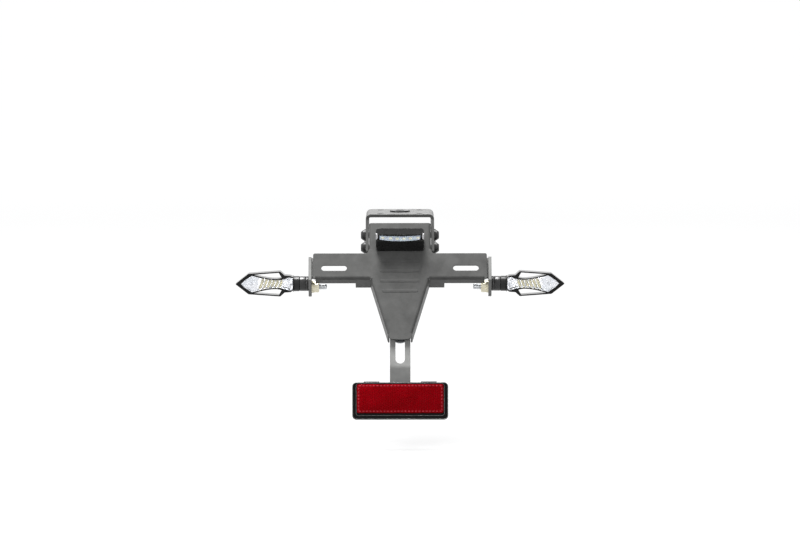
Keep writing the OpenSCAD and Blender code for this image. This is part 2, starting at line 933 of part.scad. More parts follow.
module lamp_housing() {
    color("black")
        difference() {
            intersection() {
                lamp_prism(lamp_w, 0);
                on_face()
                    translate([0, lamp_top_s - lamp_h / 2, 0])
                        linear_extrude(lamp_rise + over)
                            polygon(box_path(lamp_w, lamp_h, lamp_corner_r));
            }
            difference() {
                lamp_prism(lamp_w - 2 * lamp_wall, lamp_wall);
                on_face()
                    for (x = [-1, 1])
                        translate([x * lamp_screw_x, lamp_top_s - lamp_h / 2, 0])
                            cylinder(d = m4_d + 4, h = gasket_t + lamp_screw_reach + 1.2);
            }
            on_lamp_window()
                linear_extrude(2 * lamp_wall + 2, center = true)
                    polygon(box_path(lamp_window_l, lamp_window_h, 1.2));
            on_face()
                for (x = [-1, 1])
                    translate([x * lamp_screw_x, lamp_top_s - lamp_h / 2, 0])
                        cylinder(d = m4_d, h = gasket_t + lamp_screw_reach);
        }
}

module lamp_gasket() {
    color("black")
        on_face()
            difference() {
                translate([0, lamp_top_s - lamp_h / 2, 0])
                    linear_extrude(gasket_t)
                        polygon(box_path(lamp_w - 0.8, lamp_h - 0.8, lamp_corner_r));
                for (x = [-1, 1])
                    translate([x * lamp_screw_x, lamp_top_s - lamp_h / 2, -over])
                        cylinder(d = m4_hole_d, h = gasket_t + 2 * over);
            }
}

module lamp_lens() {
    color("white", 0.5)
        on_lamp_window()
            translate([0, 0, -lamp_wall])
                linear_extrude(lamp_wall + lamp_lens_proud)
                    polygon(box_path(lamp_window_l - 2 * lamp_lens_gap,
                        lamp_window_h - 2 * lamp_lens_gap, 1.2 - lamp_lens_gap));
}

module lamp_board() {
    color("darkgreen")
        on_lamp_window()
            translate([0, 0, -lamp_board_depth])
                linear_extrude(lamp_board_t)
                    polygon(box_path(lamp_w - 2 * lamp_wall, lamp_board_w, 0.8));
}

module lamp_leds() {
    color("lightyellow")
        on_lamp_window()
            for (i = [0:lamp_led_count - 1])
                translate([(i - (lamp_led_count - 1) / 2) * lamp_led_pitch - lamp_led_size / 2,
                        -lamp_led_size / 2, lamp_board_t - lamp_board_depth])
                    cube([lamp_led_size, lamp_led_size, lamp_led_h]);
}

module lamp_screws() {
    color("silver")
        on_face()
            for (x = [-1, 1])
                translate([x * lamp_screw_x, lamp_top_s - lamp_h / 2, -holder_t])
                    difference() {
                        rotate_extrude()
                            polygon([
                                [0, -m4_head_h], [m4_head_d / 2 - 1.4, -m4_head_h],
                                [m4_head_d / 2, -m4_head_h + 1.2], [m4_head_d / 2, 0], [m4_d / 2, 0],
                                [m4_d / 2, holder_t + gasket_t + lamp_screw_reach - 0.8],
                                [m4_d / 2 - 0.6, holder_t + gasket_t + lamp_screw_reach - 0.2],
                                [0, holder_t + gasket_t + lamp_screw_reach - 0.2]
                            ]);
                        translate([0, 0, -m4_head_h - over])
                            cylinder(d = 2.5 / cos(30), h = 1.6 + over, $fn = 6);
                    }
}

// Upper half of the arrow head's outline, from the tip inward; grow moves it outward
function arrow_half() = [
    [arrow_tip_x - arrow_barb_in, arrow_barb_h / 2, 1.2],
    [arrow_in_x + arrow_bar_end, arrow_h / 2, 1.2],
    [arrow_in_x + arrow_shoulder_end, arrow_root_h / 2 + 1.9, 0],
    [arrow_in_x + 2.6, arrow_root_h / 2 + 1.5, 1.2],
    [arrow_in_x, arrow_root_h / 2, 0]
];

function flip_half(half) = [for (i = [len(half) - 1:-1:0])
    len(half[i]) == 2 ? [half[i][0], -half[i][1]] : [half[i][0], -half[i][1], half[i][2]]];

function arrow_path() =
    rounded(concat([[arrow_tip_x, 0, 0.8]], arrow_half(), flip_half(arrow_half())));

// Outline of the clear lens, moved outward by grow
function lens_half(grow) = concat(
    [[arrow_tip_x - lens_cheek_in + grow, lens_cheek_h / 2 + grow]],
    eased([arrow_tip_x - lens_barb_in, lens_barb_h / 2 + 1.3 * grow],
        [arrow_tip_x - lens_pull_in, lens_pull_y + 1.1 * grow],
        [arrow_in_x + lens_waist_end, lens_waist_y + 1.1 * grow],
        [arrow_in_x + lens_shoulder_end, lens_shoulder_h / 2 + 1.1 * grow], 12),
    [[arrow_in_x + lens_root_in - grow, lens_root_h / 2 + grow]]
);

function lens_path(grow) = concat(
    [[arrow_tip_x - lens_tip_in + 1.8 * grow, 0]],
    lens_half(grow),
    flip_half(lens_half(grow))
);

// The open window between the lens's rim and the upper bar of the frame
function window_path() =
    let (bar_slope = (arrow_h - arrow_barb_h) / 2 / (arrow_l - arrow_barb_in - arrow_bar_end),
         far_x = arrow_tip_x - arrow_barb_in - 6,
         near_x = arrow_in_x + arrow_bar_end + 1.4)
    concat(
        eased([far_x, lens_barb_h / 2 + rim_t - 1],
            [arrow_tip_x - lens_pull_in, lens_pull_y + rim_t - 0.1],
            [arrow_in_x + lens_waist_end + 4.5, lens_waist_y + rim_t + 0.6],
            [arrow_in_x + arrow_shoulder_end + 3, lens_shoulder_h / 2 + rim_t - 1.9], 8),
        [
            [near_x, arrow_h / 2 - frame_bar_t - bar_slope * 1.4],
            [far_x, arrow_barb_h / 2 + bar_slope * 6 - frame_bar_t]
        ]
    );

module at_stem() {
    translate([0, 0, stem_rise])
        children();
}

module at_head() {
    translate([0, 0, stem_rise + head_rise])
        children();
}

module arrow_housing() {
    color("black")
        at_head()
            difference() {
                upright_slab(arrow_back, arrow_front)
                    polygon(arrow_path());
                upright_slab(arrow_front - pocket_depth, arrow_front + over)
                    polygon(lens_path(lens_gap));
                for (side = [0, 1])
                    mirror([0, 0, side])
                        upright_slab(arrow_back - over, arrow_front + over)
                            polygon(window_path());
            }
}

module arrow_lens() {
    color("white", 0.5)
        at_head()
            difference() {
                upright_slab(arrow_front - pocket_depth + arrow_board_t + tray_t, arrow_front + lens_proud)
                    polygon(lens_path(0));
                upright_slab(arrow_front - pocket_depth, arrow_front + lens_proud - lens_wall)
                    polygon(lens_path(-lens_wall * 0.8));
            }
}

module arrow_tray() {
    color("lightgray")
        at_head()
            difference() {
                upright_slab(arrow_front - pocket_depth + arrow_board_t,
                        arrow_front - pocket_depth + arrow_board_t + tray_t)
                    polygon(lens_path(0));
                for (i = [0:arrow_led_count - 1])
                    translate([arrow_board_x + 3 + i * arrow_led_pitch, 0, 0])
                        upright_slab(arrow_front - pocket_depth, arrow_front)
                            square(arrow_led_size + 0.3, center = true);
            }
}

module arrow_board() {
    color("darkgreen")
        at_head()
            translate([arrow_board_x, -arrow_front + pocket_depth - arrow_board_t, -2])
                cube([arrow_board_l, arrow_board_t, 4]);
}

module arrow_leds() {
    color("gold")
        at_head()
            for (i = [0:arrow_led_count - 1])
                translate([arrow_board_x + 3 + i * arrow_led_pitch, 0, 0])
                    upright_slab(arrow_front - pocket_depth + arrow_board_t,
                            arrow_front - pocket_depth + arrow_board_t + tray_t + 0.4)
                        square(arrow_led_size, center = true);
}

module stem_collar() {
    from = tab_out_x + boot_l;
    color("black")
        difference() {
            at_stem() {
                along_x(from, from + collar_l)
                    circle(d = stem_d);
                along_x(from + collar_l, arrow_in_x)
                    circle(d = stem_ridge_d);
            }
            along_x(from - over, from + stud_sunk_l)
                circle(d = m6_d);
        }
}

module stem_boot() {
    color("black")
        difference() {
            at_stem()
                along_x(tab_out_x, tab_out_x + boot_l)
                    circle(d = stem_d - 0.4);
            along_x(tab_out_x - over, tab_out_x + boot_l + over)
                circle(d = m6_d);
        }
}

module stem_stud() {
    far_x = tab_out_x + boot_l + stud_sunk_l;
    color("silver")
        translate([far_x, 0, 0])
            rotate([0, -90, 0])
                stud(m6_d, far_x - nut_in_x + stud_free_l);
}

module stem_washer() {
    color("goldenrod")
        translate([tab_in_x - m6_washer_t, 0, 0])
            rotate([0, 90, 0])
                washer(m6_washer_d, m6_hole_d, m6_washer_t);
}

module stem_nut() {
    color("goldenrod")
        translate([tab_in_x - m6_washer_t, 0, 0])
            rotate([0, -90, 0]) {
                translate([0, 0, nut_flange_t])
                    hex_nut(m6_nut_af, m6_d, m6_nut_h);
                washer(m6_washer_d - 0.7, m6_d, nut_flange_t + 0.6);
            }
}

tail_mount();
loom_grommet();
plate_holder();
indicator_strap();
neck_bolts();
neck_washers();
neck_nuts();
strap_studs();
strap_spacers();
strap_washers();
strap_nuts();
bar_studs();
bar_spacers();
bar_washers();
bar_nuts();
reflector_bar();
reflector_housing();
reflector_lens();
reflector_studs();
reflector_washers();
reflector_nuts();
lamp_housing();
lamp_gasket();
lamp_lens();
lamp_board();
lamp_leds();
lamp_screws();
on_side(-1) arrow_housing();  // left_housing
on_side(-1) arrow_lens();  // left_lens
on_side(-1) arrow_tray();  // left_tray
on_side(-1) arrow_board();  // left_board
on_side(-1) arrow_leds();  // left_leds
on_side(-1) stem_collar();  // left_collar
on_side(-1) stem_boot();  // left_boot
on_side(-1) stem_stud();  // left_stud
on_side(-1) stem_washer();  // left_washer
on_side(-1) stem_nut();  // left_nut
on_side(1) arrow_housing();  // right_housing
on_side(1) arrow_lens();  // right_lens
on_side(1) arrow_tray();  // right_tray
on_side(1) arrow_board();  // right_board
on_side(1) arrow_leds();  // right_leds
on_side(1) stem_collar();  // right_collar
on_side(1) stem_boot();  // right_boot
on_side(1) stem_stud();  // right_stud
on_side(1) stem_washer();  // right_washer
on_side(1) stem_nut();  // right_nut
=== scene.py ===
import json
import math

import bmesh
import bpy
from mathutils import Matrix, Vector


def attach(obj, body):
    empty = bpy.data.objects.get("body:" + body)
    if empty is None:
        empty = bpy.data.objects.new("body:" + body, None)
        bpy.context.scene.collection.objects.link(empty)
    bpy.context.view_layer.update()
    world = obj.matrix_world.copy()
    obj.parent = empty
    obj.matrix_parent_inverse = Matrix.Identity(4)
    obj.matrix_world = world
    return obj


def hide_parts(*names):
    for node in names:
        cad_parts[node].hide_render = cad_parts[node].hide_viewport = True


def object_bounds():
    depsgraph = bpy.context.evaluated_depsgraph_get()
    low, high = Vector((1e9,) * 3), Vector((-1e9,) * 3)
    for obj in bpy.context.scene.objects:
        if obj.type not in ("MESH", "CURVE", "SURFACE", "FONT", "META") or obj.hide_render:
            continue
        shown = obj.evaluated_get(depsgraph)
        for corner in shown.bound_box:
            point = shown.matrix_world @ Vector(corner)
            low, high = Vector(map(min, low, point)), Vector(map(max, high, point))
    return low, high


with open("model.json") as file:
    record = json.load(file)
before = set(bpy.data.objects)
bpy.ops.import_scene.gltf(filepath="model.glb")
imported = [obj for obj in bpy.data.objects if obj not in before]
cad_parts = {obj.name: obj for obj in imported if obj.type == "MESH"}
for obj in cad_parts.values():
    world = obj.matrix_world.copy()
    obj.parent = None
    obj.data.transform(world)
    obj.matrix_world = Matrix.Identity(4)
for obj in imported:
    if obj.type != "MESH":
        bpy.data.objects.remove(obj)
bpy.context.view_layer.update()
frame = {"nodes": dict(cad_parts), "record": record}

MM = 0.001

# Sizes repeated from the part's source, in millimetres and degrees
FACE_TILT = 30
FACE_HEIGHT = 62.4
NECK_TOP_BACK = 44
NECK_TOP_DROP = 8.3
HOLDER_T = 1.5
STRAP_DEPTH = 4
STRAP_T = 3
STRAP_STUD = (38, 14)
STUD_DEPTH = 19
TAB_OUT_X = 92.6
BOOT_L = 9.2
COLLAR_L = 5.6
ARROW_IN_X = 108.3
ARROW_TIP_X = 166.9
ARROW_FRONT = 7
STEM_RISE = 3.2
HEAD_RISE = 0.2
STEM_D = 15.5
BAR_FRONT_DEPTH = 4.5
BAR_T = 2.5
BAR_BEND_AT = 95
BAR_STUDS_AT = (30, 59)
REFLECTOR_TILT = 10
REFLECTOR_W = 96
REFLECTOR_H = 37.2
REFLECTOR_MID = 34.6
REFLECTOR_STUD_GAP = 16
LUG_X = 28.6
LAMP_TOP_S = 46.9
LAMP_FACE_H = 6.9
LAMP_CHAMFER = 5
LAMP_RISE = 20
LAMP_W = 48.4

# Threads by diameter and pitch, and how far a stud goes past its plate: washer, nut and end
M5 = (5, 0.8)
M6 = (6, 1)
M5_PAST = 1 + 4 + 1.8
M6_PAST = 1.6 + 5 + 1.8
STEM_STUD_L = 30.7
REFLECTOR_STUD_SUNK = 2.5

# The photograph: its size, the pixel of the face's origin, and pixels per millimetre there
PHOTO_W = 800
PHOTO_H = 533
FACE_PX = (400.0, 278.7)
PX_PER_MM = 0.99
CAMERA_DISTANCE = 4.0
CAMERA_ELEVATION = math.radians(5)
CAMERA_ROLL = math.radians(-0.1)
SENSOR_W = 36.0

# The floor in metres: its drop below the part and half its side
FLOOR_GAP = 0.03
FLOOR_HALF = 30


def turn_x(degrees):
    return Matrix.Rotation(math.radians(degrees), 4, "X")


def turn_y(degrees):
    return Matrix.Rotation(math.radians(degrees), 4, "Y")


def shift(x, y, z):
    """A move by millimetres."""
    return Matrix.Translation(Vector((x, y, z)) * MM)


# Frames, as in the part's source: the plate face, the reflector, the lamp window and the stems
TILT = math.radians(FACE_TILT)
FACE = shift(
    0,
    -NECK_TOP_BACK - FACE_HEIGHT * math.sin(TILT),
    -NECK_TOP_DROP - FACE_HEIGHT * math.cos(TILT),
) @ turn_x(90 - FACE_TILT)
REFLECTOR = (
    FACE @ shift(0, -BAR_BEND_AT, -BAR_FRONT_DEPTH) @ turn_x(FACE_TILT - REFLECTOR_TILT)
    @ shift(0, -REFLECTOR_MID, 0)
)
LAMP_WINDOW = FACE @ shift(
    0, LAMP_TOP_S - LAMP_FACE_H - LAMP_CHAMFER / 2, LAMP_RISE - LAMP_CHAMFER / 2) @ turn_x(45)
STUD_PLACE = Matrix.Translation((FACE @ Vector((0, 0, -STUD_DEPTH * MM))))
STEM_PLACE = STUD_PLACE @ shift(0, 0, STEM_RISE)
HEAD_PLACE = STEM_PLACE @ shift(0, 0, HEAD_RISE)


def add_camera():
    focal_px = PX_PER_MM * 1000 * CAMERA_DISTANCE
    look = Vector((0, math.cos(CAMERA_ELEVATION), -math.sin(CAMERA_ELEVATION)))
    up = Vector((0, math.sin(CAMERA_ELEVATION), math.cos(CAMERA_ELEVATION)))
    rise = (FACE_PX[1] - PHOTO_H / 2) / (PX_PER_MM * 1000)
    side = (PHOTO_W / 2 - FACE_PX[0]) / (PX_PER_MM * 1000)
    target = FACE.translation + up * rise + Vector((side, 0, 0))
    data = bpy.data.cameras.new("camera")
    data.sensor_width = SENSOR_W
    data.lens = focal_px / PHOTO_W * SENSOR_W
    data.clip_end = 100
    camera = bpy.data.objects.new("camera", data)
    bpy.context.collection.objects.link(camera)
    camera.rotation_mode = "QUATERNION"
    camera.location = target - look * CAMERA_DISTANCE
    camera.rotation_quaternion = (
        look.to_track_quat("-Z", "Y") @ Matrix.Rotation(CAMERA_ROLL, 4, "Z").to_quaternion()
    )
    bpy.context.scene.camera = camera


def add_area(name, place, aim, size, power, size_y=None):
    data = bpy.data.lights.new(name, "AREA")
    data.shape = "RECTANGLE"
    data.size = size
    data.size_y = size_y or size
    data.energy = power
    light = bpy.data.objects.new(name, data)
    bpy.context.collection.objects.link(light)
    light.location = place
    light.rotation_mode = "QUATERNION"
    light.rotation_quaternion = (Vector(aim) - Vector(place)).to_track_quat("-Z", "Y")


def add_lights():
    add_area("top", (-0.25, 0.1, 1.8), (0, -0.08, -0.08), 1.0, 78, 0.9)
    add_area("key", (-1.5, -1.5, 0.35), (0, -0.08, -0.12), 0.9, 13)
    add_area("fill", (1.4, -1.7, 0.1), (0, -0.08, -0.12), 0.9, 7)
    add_area("back", (0.2, 2.2, 1.2), (0, 0, -0.05), 1.6, 8)


def new_nodes(name):
    material = bpy.data.materials.new(name)
    material.use_nodes = True
    tree = material.node_tree
    return material, tree, tree.nodes["Principled BSDF"]


def object_coordinates(tree):
    return tree.nodes.new("ShaderNodeTexCoord").outputs["Object"]


def noise(tree, size_mm, detail=2.0, roughness=0.5):
    node = tree.nodes.new("ShaderNodeTexNoise")
    node.inputs["Scale"].default_value = 1 / (size_mm * MM)
    node.inputs["Detail"].default_value = detail
    node.inputs["Roughness"].default_value = roughness
    tree.links.new(object_coordinates(tree), node.inputs["Vector"])
    return node.outputs["Fac"]


def rgba(colour):
    if hasattr(colour, "__len__"):
        return (*colour, 1)
    return (colour, colour, colour, 1)


def ramp(tree, source, low, high, start=0.3, end=0.7):
    node = tree.nodes.new("ShaderNodeValToRGB")
    node.color_ramp.elements[0].position = start
    node.color_ramp.elements[1].position = end
    node.color_ramp.elements[0].color = rgba(low)
    node.color_ramp.elements[1].color = rgba(high)
    tree.links.new(source, node.inputs["Fac"])
    return node.outputs["Color"]


def value_range(tree, source, low, high, start=0.0, end=1.0):
    node = tree.nodes.new("ShaderNodeMapRange")
    node.inputs["From Min"].default_value = start
    node.inputs["From Max"].default_value = end
    node.inputs["To Min"].default_value = low
    node.inputs["To Max"].default_value = high
    tree.links.new(source, node.inputs["Value"])
    return node.outputs["Result"]


def maths(tree, operation, *sources):
    node = tree.nodes.new("ShaderNodeMath")
    node.operation = operation
    for i, source in enumerate(sources):
        if isinstance(source, (int, float)):
            node.inputs[i].default_value = source
        else:
            tree.links.new(source, node.inputs[i])
    return node.outputs["Value"]


def vectors(tree, operation, *sources):
    node = tree.nodes.new("ShaderNodeVectorMath")
    node.operation = operation
    for i, source in enumerate(sources):
        if isinstance(source, tuple):
            node.inputs[i].default_value = source
        else:
            tree.links.new(source, node.inputs[i])
    return node.outputs["Value"] if operation in ("DOT_PRODUCT", "LENGTH") else node.outputs["Vector"]


def mixed(tree, factor, low, high):
    node = tree.nodes.new("ShaderNodeMix")
    node.data_type = "RGBA"
    tree.links.new(factor, node.inputs[0])
    for source, socket in ((low, node.inputs[6]), (high, node.inputs[7])):
        if isinstance(source, tuple):
            socket.default_value = rgba(source)
        else:
            tree.links.new(source, socket)
    return node.outputs[2]


def bumped(tree, shader, height, distance_mm, edge_mm=0.3):
    """Bump over rounded edges, on the shader's normal."""
    bump = tree.nodes.new("ShaderNodeBump")
    bump.inputs["Distance"].default_value = distance_mm * MM
    tree.links.new(height, bump.inputs["Height"])
    if edge_mm:
        edge = tree.nodes.new("ShaderNodeBevel")
        edge.samples = 6
        edge.inputs["Radius"].default_value = edge_mm * MM
        tree.links.new(edge.outputs["Normal"], bump.inputs["Normal"])
    tree.links.new(bump.outputs["Normal"], shader.inputs["Normal"])


def finish(name, low, high, rough, patch_mm, grain_mm, grain_height_mm, metallic=0.0, coat=0.0,
           specular=0.5, edge_mm=0.3, detail=3.0):
    material, tree, shader = new_nodes(name)
    tree.links.new(ramp(tree, noise(tree, patch_mm, detail, 0.62), low, high), shader.inputs["Base Color"])
    tree.links.new(
        value_range(tree, noise(tree, patch_mm * 0.4, 3.0), *rough), shader.inputs["Roughness"])
    shader.inputs["Metallic"].default_value = metallic
    shader.inputs["Coat Weight"].default_value = coat
    shader.inputs["Coat Roughness"].default_value = 0.04
    shader.inputs["Specular IOR Level"].default_value = specular
    bumped(tree, shader, noise(tree, grain_mm, 2.0), grain_height_mm, edge_mm)
    return material


def clear_finish(name, transmission, rough):
    material, tree, shader = new_nodes(name)
    tree.links.new(
        ramp(tree, noise(tree, 5, 2.0), (0.93, 0.95, 0.97), (0.99, 0.99, 1.0)), shader.inputs["Base Color"])
    shader.inputs["Transmission Weight"].default_value = transmission
    shader.inputs["IOR"].default_value = 1.49
    tree.links.new(value_range(tree, noise(tree, 6, 2.0), *rough), shader.inputs["Roughness"])
    bumped(tree, shader, noise(tree, 9, 1.0), 0.03, 0)
    return material


# The red lens in the reflector's frame: its cells across flats, its edges, and its row of dots inside them
PRISM_MM = 2.6
LENS_HALF_W = 43.3
LENS_TOP = 16.85
LENS_LOW = -12.15
DOTS_IN = 1.75
DOT_PITCH = 3.5
HEX_HALF = 0.8660254


def prism_coordinates(tree):
    """Place in the nearest of the hexagonal cells, in cell widths, and its height to the nearest facet."""
    half = (HEX_HALF, 0.5, 1)
    back = (-HEX_HALF, -0.5, -1)
    scale = 1 / (PRISM_MM * MM)
    at = vectors(tree, "MULTIPLY", object_coordinates(tree), (scale, scale, 0))
    first = vectors(tree, "WRAP", at, half, back)
    second = vectors(tree, "WRAP", vectors(tree, "ADD", at, (HEX_HALF, 0.5, 0)), half, back)
    nearer = maths(tree, "LESS_THAN", vectors(tree, "LENGTH", second), vectors(tree, "LENGTH", first))
    node = tree.nodes.new("ShaderNodeMix")
    node.data_type = "VECTOR"
    tree.links.new(nearer, node.inputs[0])
    tree.links.new(first, node.inputs[4])
    tree.links.new(second, node.inputs[5])
    local = node.outputs[1]
    sides = [vectors(tree, "DOT_PRODUCT", local, (math.cos(a), math.sin(a), 0))
             for a in (math.radians(90), math.radians(210), math.radians(330))]
    height = maths(tree, "MAXIMUM", maths(tree, "MAXIMUM", sides[0], sides[1]), sides[2])
    return sides, height


def border_dots(tree):
    """One on the row of dots just inside the lens's edge, and zero away from it."""
    split = tree.nodes.new("ShaderNodeSeparateXYZ")
    tree.links.new(object_coordinates(tree), split.inputs["Vector"])
    x, y = split.outputs["X"], split.outputs["Y"]
    middle = (LENS_TOP + LENS_LOW) / 2 * MM
    far_x = maths(tree, "SUBTRACT", maths(tree, "ABSOLUTE", x), (LENS_HALF_W - DOTS_IN) * MM)
    up = maths(tree, "ABSOLUTE", maths(tree, "SUBTRACT", y, middle))
    far_y = maths(tree, "SUBTRACT", up, ((LENS_TOP - LENS_LOW) / 2 - DOTS_IN) * MM)
    reach = maths(tree, "MAXIMUM", far_x, far_y)
    upright = maths(tree, "GREATER_THAN", far_x, far_y)
    along = maths(tree, "ADD", maths(tree, "MULTIPLY", upright, y),
                  maths(tree, "MULTIPLY", maths(tree, "SUBTRACT", 1.0, upright), x))
    wave = maths(tree, "ABSOLUTE", maths(
        tree, "SINE", maths(tree, "MULTIPLY", along, math.pi / (DOT_PITCH * MM))))
    line = value_range(tree, maths(tree, "ABSOLUTE", reach), 1.0, 0.0, 0.1 * MM, 1.0 * MM)
    return maths(tree, "MULTIPLY", line, value_range(tree, wave, 0.0, 1.0, 0.3, 0.95))


def red_finish():
    material, tree, shader = new_nodes("red_reflex")
    sides, height = prism_coordinates(tree)
    # The upward facet of each prism cell is painted a lighter red: painted glint of the light from above
    facet = maths(tree, "GREATER_THAN", sides[0], maths(tree, "MAXIMUM", sides[1], sides[2]))
    tone = ramp(tree, noise(tree, 11, 3.0), (0.27, 0.0004, 0.002), (0.37, 0.0008, 0.005))
    cell = mixed(tree, value_range(tree, height, 0.0, 0.5, 0.1, 0.5), tone, (0.2, 0.0004, 0.002))
    with_top_facet_glint = mixed(tree, value_range(tree, facet, 0.0, 0.35), cell, (0.6, 0.004, 0.016))
    dots = border_dots(tree)
    colour = mixed(tree, value_range(tree, dots, 0.0, 0.55), with_top_facet_glint, (0.92, 0.1, 0.14))
    tree.links.new(colour, shader.inputs["Base Color"])
    shader.inputs["Specular IOR Level"].default_value = 0.0
    shader.inputs["Roughness"].default_value = 0.3
    shader.inputs["Coat Weight"].default_value = 0.03
    shader.inputs["Coat Roughness"].default_value = 0.05
    relief = maths(tree, "ADD", height, maths(tree, "MULTIPLY", dots, 0.3))
    bumped(tree, shader, relief, PRISM_MM * 0.42, 0)
    return material


def make_looks():
    return {
        "satin_black_steel": finish(
            "satin_black", (0.074, 0.074, 0.072), (0.118, 0.118, 0.115), (0.34, 0.5), 16, 1.0, 0.07,
            specular=0.22, edge_mm=0.5, detail=7.0),
        "black_zinc": finish("black_zinc", 0.03, 0.05, (0.25, 0.36), 5, 0.6, 0.004, specular=0.3),
        "bright_zinc": finish(
            "zinc", (0.5, 0.52, 0.54), (0.66, 0.67, 0.68), (0.24, 0.4), 3, 0.5, 0.004, 1.0),
        "yellow_zinc": finish(
            "yellow_zinc", (0.76, 0.7, 0.5), (0.88, 0.84, 0.68), (0.24, 0.4), 3, 0.5, 0.004, 0.55),
        "black_rubber": finish(
            "rubber", 0.015, 0.024, (0.22, 0.32), 8, 0.4, 0.012, coat=0.1, specular=0.45),
        "black_moulding": finish(
            "black_moulding", 0.012, 0.018, (0.22, 0.34), 12, 0.35, 0.008, specular=0.28),
        "gloss_black_moulding": finish(
            "gloss_black", 0.004, 0.008, (0.08, 0.16), 14, 2.0, 0.004, coat=0.06, specular=0.2),
        "red_lens": red_finish(),
        "clear_lens": clear_finish("clear_lens", 1.0, (0.0, 0.05)),
        "lamp_clear": clear_finish("lamp_clear", 1.0, (0.0, 0.03)),
        # Silver tray with bluish and cyan tints: the silver is its own colour, the tints are painted
        # reflection of the surroundings
        "lamp_silver": finish(
            "lamp_silver", (0.4, 0.4, 0.56), (0.56, 0.7, 0.72), (0.12, 0.22), 4, 1.2, 0.03, 0.4, edge_mm=0),
        # Grey lips lighter than the black housing: painted highlight along the rim edges
        "rim_moulding": finish("rim_moulding", 0.12, 0.17, (0.16, 0.26), 10, 0.4, 0.006, coat=0.2),
        "groove_black": finish("groove_black", 0.006, 0.01, (0.26, 0.36), 12, 0.35, 0.008, specular=0.12),
        # Pale white for the crescents at the lamp window's ends: painted reflection
        "end_glint_white": finish(
            "end_glint_white", (0.74, 0.73, 0.74), (0.85, 0.84, 0.85), (0.1, 0.2), 3, 0.6, 0.01, coat=0.5, edge_mm=0.2),
        "bright_tray": finish(
            "silvered", (0.9, 0.91, 0.94), (0.97, 0.97, 0.98), (0.2, 0.32), 5, 1.4, 0.05, 0.8, edge_mm=0),
        "circuit_board": finish("board", (0.7, 0.7, 0.68), (0.8, 0.8, 0.78), (0.3, 0.4), 4, 0.5, 0.004),
        "lamp_chip": finish(
            "lamp_chip", (0.98, 0.93, 0.66), (1.0, 0.98, 0.82), (0.3, 0.4), 2, 0.5, 0.004, edge_mm=0),
        "led_chip": finish("led", (0.93, 0.84, 0.48), (0.98, 0.92, 0.68), (0.2, 0.3), 2, 0.5, 0.004),
    }


# Nodes in the same satin black coat as the other steel pieces, painted a lighter grey: painted highlight for
# the light their upright faces and bent edges catch
PAINTED_HIGHLIGHT_STEEL = ("reflector_bar", "indicator_strap")


def dress_nodes(looks):
    for part in frame["record"]["subparts"]:
        mesh = frame["nodes"][part["node"]].data
        mesh.materials.clear()
        mesh.materials.append(looks[part["material_slot"]])
    # A lighter grey than the satin black: painted highlight, a lit copy of the same coat
    light = finish("steel_painted_highlight", (0.21, 0.21, 0.205), (0.29, 0.29, 0.282), (0.48, 0.6), 14, 0.9, 0.05,
                   specular=0.45, edge_mm=0.7, detail=7.0)
    for name in PAINTED_HIGHLIGHT_STEEL:
        frame["nodes"][name].data.materials[0] = light


def add_floor():
    """A pale floor: the camera and gloss see it evenly pale, with the object's shadow kept."""
    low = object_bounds()[0]
    z = low.z - FLOOR_GAP
    mesh = bpy.data.meshes.new("floor")
    corners = [(x * FLOOR_HALF, y * FLOOR_HALF, z) for x, y in ((-1, -1), (1, -1), (1, 1), (-1, 1))]
    mesh.from_pydata(corners, [], [(0, 1, 2, 3)])
    floor = bpy.data.objects.new("floor", mesh)
    bpy.context.collection.objects.link(floor)
    material, tree, shader = new_nodes("floor")
    tree.links.new(ramp(tree, noise(tree, 400, 2.0), 0.13, 0.14), shader.inputs["Base Color"])
    shader.inputs["Roughness"].default_value = 0.9
    shader.inputs["Specular IOR Level"].default_value = 0.0
    shader.inputs["Emission Color"].default_value = (1, 1, 1, 1)
    away = vectors(tree, "LENGTH", object_coordinates(tree))
    glow = value_range(tree, away, 0.86, 0.97, 1.0, 4.0)
    tree.links.new(maths(tree, "MULTIPLY", seen_directly(tree), glow), shader.inputs["Emission Strength"])
    mesh.materials.append(material)


def seen_directly(tree):
    path = tree.nodes.new("ShaderNodeLightPath")
    gloss = maths(tree, "MAXIMUM", path.outputs["Is Glossy Ray"], path.outputs["Is Transmission Ray"])
    return maths(tree, "MAXIMUM", path.outputs["Is Camera Ray"], gloss)


def add_world():
    world = bpy.data.worlds.new("world")
    bpy.context.scene.world = world
    world.use_nodes = True
    tree = world.node_tree
    light = tree.nodes["Background"]
    light.inputs["Color"].default_value = (0.93, 0.96, 1.0, 1)
    light.inputs["Strength"].default_value = 0.26
    seen = tree.nodes.new("ShaderNodeBackground")
    seen.inputs["Color"].default_value = (1, 1, 1, 1)
    seen.inputs["Strength"].default_value = 1.0
    mix = tree.nodes.new("ShaderNodeMixShader")
    tree.links.new(seen_directly(tree), mix.inputs["Fac"])
    tree.links.new(light.outputs["Background"], mix.inputs[1])
    tree.links.new(seen.outputs["Background"], mix.inputs[2])
    tree.links.new(mix.outputs["Shader"], tree.nodes["World Output"].inputs["Surface"])


